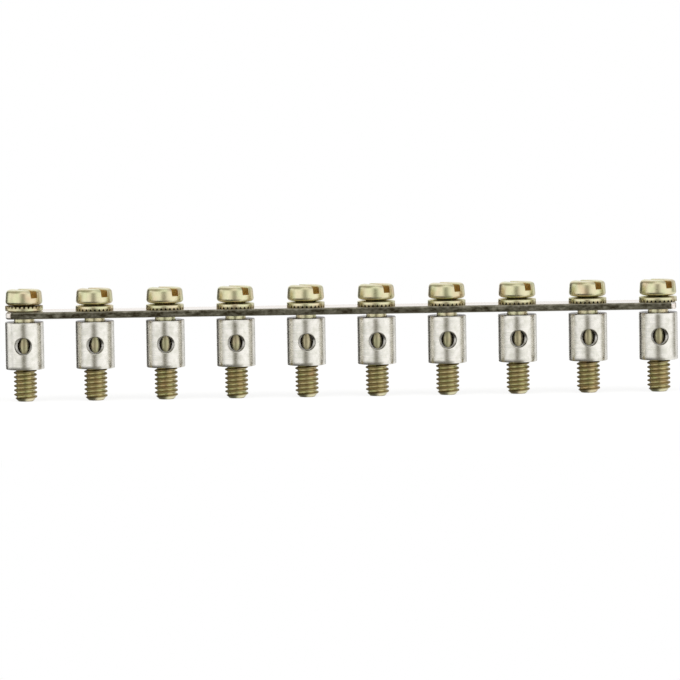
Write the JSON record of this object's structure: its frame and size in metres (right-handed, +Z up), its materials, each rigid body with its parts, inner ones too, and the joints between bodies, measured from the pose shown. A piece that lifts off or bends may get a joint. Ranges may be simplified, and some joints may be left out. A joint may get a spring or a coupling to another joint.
{
  "type": "terminal cross connector",
  "caption": "Flat metal strip with a row of captive slotted screws, each with a toothed washer and a spacer sleeve, that bridges neighbouring screw terminals.",
  "frame": {"origin": "under the middle of the row, level with the screw tips", "axes": "+X along the strip, -Y the front with the side holes in the sleeves, +Z up to the screw heads"},
  "size_m": [0.1146, 0.007, 0.0191],
  "materials": {
    "tinned_copper_strip": "satin tin plate over copper",
    "yellow_zinc_steel": "bright zinc plate, yellow passivated",
    "tin_plated_brass": "satin tin plate, turned"
  },
  "bodies": {
    "strip_row": {"connector_strip": "tinned_copper_strip", "washer_1": "yellow_zinc_steel", "washer_2": "yellow_zinc_steel", "washer_3": "yellow_zinc_steel", "washer_4": "yellow_zinc_steel", "washer_5": "yellow_zinc_steel", "washer_6": "yellow_zinc_steel", "washer_7": "yellow_zinc_steel", "washer_8": "yellow_zinc_steel", "washer_9": "yellow_zinc_steel", "washer_10": "yellow_zinc_steel", "sleeve_1": "tin_plated_brass", "sleeve_2": "tin_plated_brass", "sleeve_3": "tin_plated_brass", "sleeve_4": "tin_plated_brass", "sleeve_5": "tin_plated_brass", "sleeve_6": "tin_plated_brass", "sleeve_7": "tin_plated_brass", "sleeve_8": "tin_plated_brass", "sleeve_9": "tin_plated_brass", "sleeve_10": "tin_plated_brass"},
    "captive_screw_1": {"screw_1": "yellow_zinc_steel"},
    "captive_screw_2": {"screw_2": "yellow_zinc_steel"},
    "captive_screw_3": {"screw_3": "yellow_zinc_steel"},
    "captive_screw_4": {"screw_4": "yellow_zinc_steel"},
    "captive_screw_5": {"screw_5": "yellow_zinc_steel"},
    "captive_screw_6": {"screw_6": "yellow_zinc_steel"},
    "captive_screw_7": {"screw_7": "yellow_zinc_steel"},
    "captive_screw_8": {"screw_8": "yellow_zinc_steel"},
    "captive_screw_9": {"screw_9": "yellow_zinc_steel"},
    "captive_screw_10": {"screw_10": "yellow_zinc_steel"}
  },
  "joints": [
    {"name": "screw_1_turn", "type": "hinge", "parent": "strip_row", "child": "captive_screw_1", "pos_m": [-0.054, 0, 0.0142], "axis": [0, 0, 1], "continuous": true},
    {"name": "screw_2_turn", "type": "hinge", "parent": "strip_row", "child": "captive_screw_2", "pos_m": [-0.042, 0, 0.0142], "axis": [0, 0, 1], "continuous": true},
    {"name": "screw_3_turn", "type": "hinge", "parent": "strip_row", "child": "captive_screw_3", "pos_m": [-0.03, 0, 0.0142], "axis": [0, 0, 1], "continuous": true},
    {"name": "screw_4_turn", "type": "hinge", "parent": "strip_row", "child": "captive_screw_4", "pos_m": [-0.018, 0, 0.0142], "axis": [0, 0, 1], "continuous": true},
    {"name": "screw_5_turn", "type": "hinge", "parent": "strip_row", "child": "captive_screw_5", "pos_m": [-0.006, 0, 0.0142], "axis": [0, 0, 1], "continuous": true},
    {"name": "screw_6_turn", "type": "hinge", "parent": "strip_row", "child": "captive_screw_6", "pos_m": [0.006, 0, 0.0142], "axis": [0, 0, 1], "continuous": true},
    {"name": "screw_7_turn", "type": "hinge", "parent": "strip_row", "child": "captive_screw_7", "pos_m": [0.018, 0, 0.0142], "axis": [0, 0, 1], "continuous": true},
    {"name": "screw_8_turn", "type": "hinge", "parent": "strip_row", "child": "captive_screw_8", "pos_m": [0.03, 0, 0.0142], "axis": [0, 0, 1], "continuous": true},
    {"name": "screw_9_turn", "type": "hinge", "parent": "strip_row", "child": "captive_screw_9", "pos_m": [0.042, 0, 0.0142], "axis": [0, 0, 1], "continuous": true},
    {"name": "screw_10_turn", "type": "hinge", "parent": "strip_row", "child": "captive_screw_10", "pos_m": [0.054, 0, 0.0142], "axis": [0, 0, 1], "continuous": true}
  ]
}
